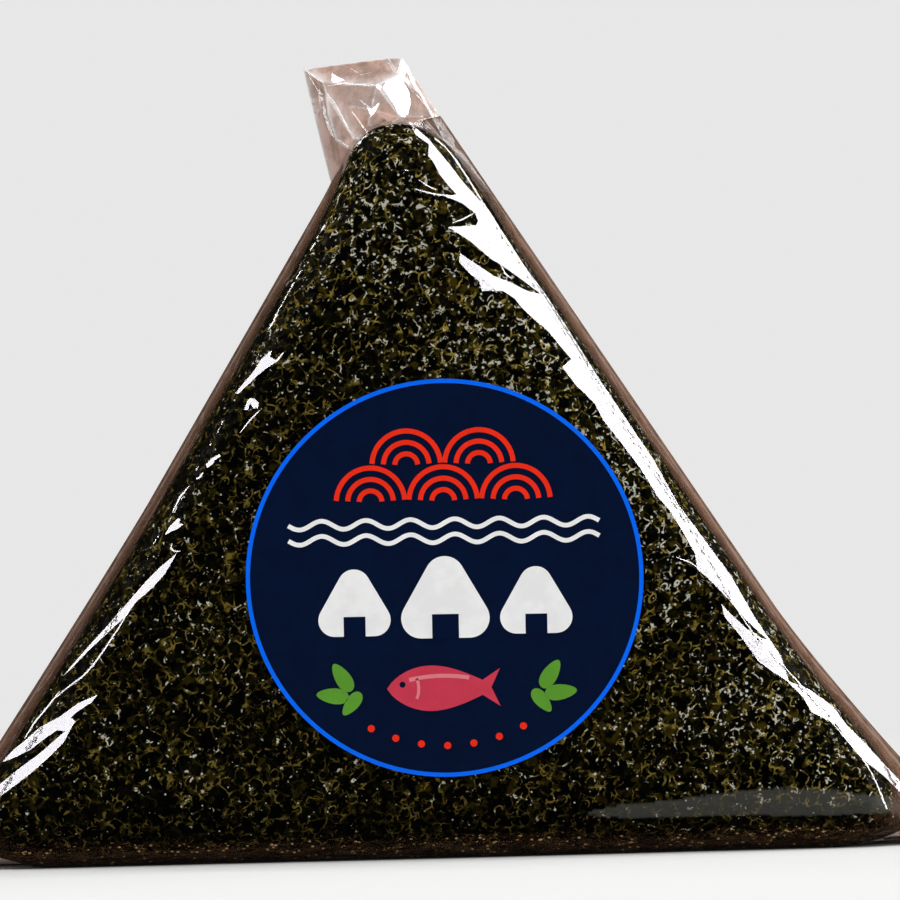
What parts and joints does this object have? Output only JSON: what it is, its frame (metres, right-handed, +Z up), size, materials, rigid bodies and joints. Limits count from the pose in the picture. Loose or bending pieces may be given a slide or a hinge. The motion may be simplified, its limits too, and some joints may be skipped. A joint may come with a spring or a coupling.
{
  "type": "onigiri rice ball",
  "caption": "Triangular onigiri rice ball wrapped in nori, shut in clear film with pointed lower corners and a folded tab above the top, and a round label on its front.",
  "frame": {"origin": "centre of the base, on the surface that the rice ball stands on", "axes": "+X to the right as seen from the front, -Y out of the labelled front, +Z up towards the tab"},
  "size_m": [0.106, 0.0307, 0.0798],
  "materials": {
    "nori_under_film": "glossy clear film over dark nori",
    "label": "smooth printed sticker"
  },
  "bodies": {
    "root": {"wrapped_onigiri": "nori_under_film", "label": "label"}
  },
  "joints": []
}
